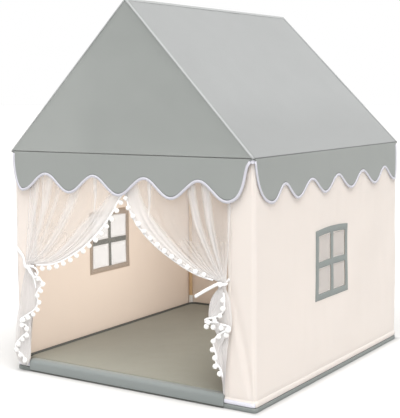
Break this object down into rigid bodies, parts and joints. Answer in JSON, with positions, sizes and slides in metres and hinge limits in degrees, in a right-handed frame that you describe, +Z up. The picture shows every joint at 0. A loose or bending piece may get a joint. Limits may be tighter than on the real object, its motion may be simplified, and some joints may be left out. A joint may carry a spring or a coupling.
{
  "type": "kids play tent",
  "caption": "House-shaped play tent: round-pole frame, gabled roof with scalloped valances, two side windows, tied sheer curtains and a padded floor mat.",
  "frame": {"origin": "centre of the floor mat's underside, on the floor", "axes": "+Z up along the posts, +X to the right as seen from the door, the door faces -Y"},
  "size_m": [1.0682, 1.2479, 1.3968],
  "materials": {
    "pine_pole": "sanded round pine dowel, clear finish",
    "white_plastic": "moulded, fine matte",
    "roof_fabric": "grey-green satin-weave polyester",
    "white_binding": "white woven bias tape",
    "wall_fabric": "cream peach-skin polyester",
    "window_trim": "grey woven tape",
    "window_mesh": "sheer white mesh",
    "curtain_tulle": "white sheer tulle",
    "pompom_yarn": "fluffy white yarn balls on a narrow tape",
    "ribbon": "white satin ribbon",
    "mat_fabric": "grey padded polyester"
  },
  "bodies": {
    "tent": {"post_front_left": "pine_pole", "post_front_right": "pine_pole", "post_rear_left": "pine_pole", "post_rear_right": "pine_pole", "rafter_front_left": "pine_pole", "rafter_front_right": "pine_pole", "rafter_rear_left": "pine_pole", "rafter_rear_right": "pine_pole", "base_rail_front": "pine_pole", "base_rail_rear": "pine_pole", "base_rail_left": "pine_pole", "base_rail_right": "pine_pole", "eave_rail_front": "pine_pole", "eave_rail_rear": "pine_pole", "eave_rail_left": "pine_pole", "eave_rail_right": "pine_pole", "ridge_pole": "pine_pole", "base_connector_front_left": "white_plastic", "base_connector_front_right": "white_plastic", "base_connector_rear_left": "white_plastic", "base_connector_rear_right": "white_plastic", "eave_connector_front_left": "white_plastic", "eave_connector_front_right": "white_plastic", "eave_connector_rear_left": "white_plastic", "eave_connector_rear_right": "white_plastic", "ridge_connector_front": "white_plastic", "ridge_connector_rear": "white_plastic", "roof_left": "roof_fabric", "roof_right": "roof_fabric", "gable_front": "roof_fabric", "gable_rear": "roof_fabric", "wall_left": "wall_fabric", "wall_right": "wall_fabric", "wall_rear": "wall_fabric", "door_side_left": "wall_fabric", "door_side_right": "wall_fabric", "door_header": "wall_fabric", "window_trim_left": "window_trim", "window_trim_right": "window_trim", "window_mesh_left": "window_mesh", "window_mesh_right": "window_mesh", "tieback_left": "ribbon", "tieback_right": "ribbon", "floor_mat": "mat_fabric"},
    "curtain_left": {"curtain_left": "curtain_tulle", "pompom_swag_left": "pompom_yarn", "pompom_tail_left": "pompom_yarn"},
    "curtain_right": {"curtain_right": "curtain_tulle", "pompom_swag_right": "pompom_yarn", "pompom_tail_right": "pompom_yarn"},
    "valance_flap_front": {"valance_front": "roof_fabric", "valance_binding_front": "white_binding"},
    "valance_flap_rear": {"valance_rear": "roof_fabric", "valance_binding_rear": "white_binding"},
    "valance_flap_left": {"valance_left": "roof_fabric", "valance_binding_left": "white_binding"},
    "valance_flap_right": {"valance_right": "roof_fabric", "valance_binding_right": "white_binding"},
    "mat_flap": {"mat_front_flap": "mat_fabric"}
  },
  "joints": [
    {"name": "curtain_left_draw", "type": "slide", "parent": "tent", "child": "curtain_left", "axis": [-1, 0, 0], "range_m": [0, 0.28], "deforming": ["curtain_left", "pompom_swag_left", "pompom_tail_left"]},
    {"name": "curtain_right_draw", "type": "slide", "parent": "tent", "child": "curtain_right", "axis": [1, 0, 0], "range_m": [0, 0.28], "deforming": ["curtain_right", "pompom_swag_right", "pompom_tail_right"]},
    {"name": "valance_front_lift", "type": "hinge", "parent": "tent", "child": "valance_flap_front", "pos_m": [0, -0.6095, 0.84798], "axis": [-1, 0, 0], "range_deg": [0, 80]},
    {"name": "valance_rear_lift", "type": "hinge", "parent": "tent", "child": "valance_flap_rear", "pos_m": [0, 0.6095, 0.84798], "axis": [1, 0, 0], "range_deg": [0, 80]},
    {"name": "valance_left_lift", "type": "hinge", "parent": "tent", "child": "valance_flap_left", "pos_m": [-0.5335, 0, 0.84798], "axis": [0, 1, 0], "range_deg": [0, 80]},
    {"name": "valance_right_lift", "type": "hinge", "parent": "tent", "child": "valance_flap_right", "pos_m": [0.5335, 0, 0.84798], "axis": [0, -1, 0], "range_deg": [0, 80]},
    {"name": "mat_flap_fold", "type": "hinge", "parent": "tent", "child": "mat_flap", "pos_m": [0, -0.5723, 0.0455], "axis": [-1, 0, 0], "range_deg": [0, 150]}
  ]
}
